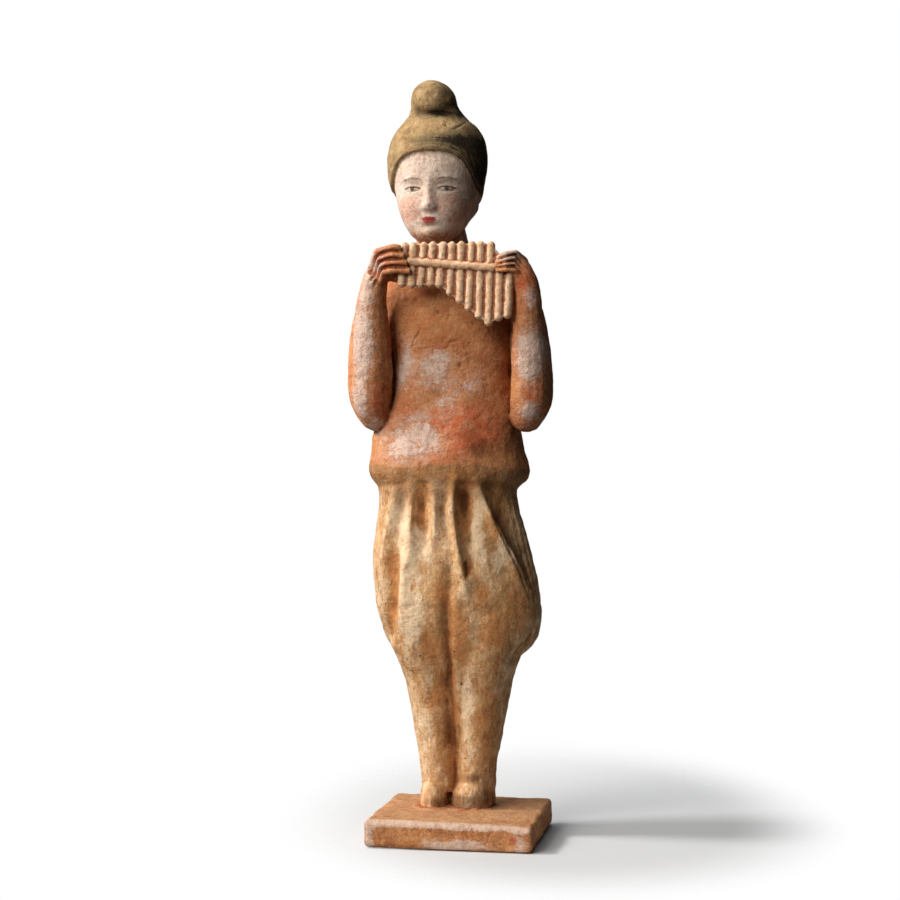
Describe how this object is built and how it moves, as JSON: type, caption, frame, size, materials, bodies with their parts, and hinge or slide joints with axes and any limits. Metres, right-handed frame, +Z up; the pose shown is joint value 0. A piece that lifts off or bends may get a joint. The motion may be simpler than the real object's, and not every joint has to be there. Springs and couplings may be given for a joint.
{
  "type": "tomb musician figure",
  "caption": "Standing painted terracotta figure playing a panpipe, with a topknot and wide gathered trousers, on a small slab plinth.",
  "frame": {"origin": "centre of the plinth's underside", "axes": "+Z up, the figure faces -Y, and +X is at a viewer's right when they look at its face"},
  "size_m": [0.0786, 0.0572, 0.28],
  "materials": {
    "painted_clay": "matt low-fired earthenware, white slip and worn cold-painted pigment",
    "slipped_clay": "matt low-fired earthenware with worn pinkish slip",
    "bare_clay": "matt bare low-fired earthenware with traces of slip"
  },
  "bodies": {
    "root": {"figure": "painted_clay", "panpipe": "slipped_clay", "plinth": "bare_clay"}
  },
  "joints": []
}
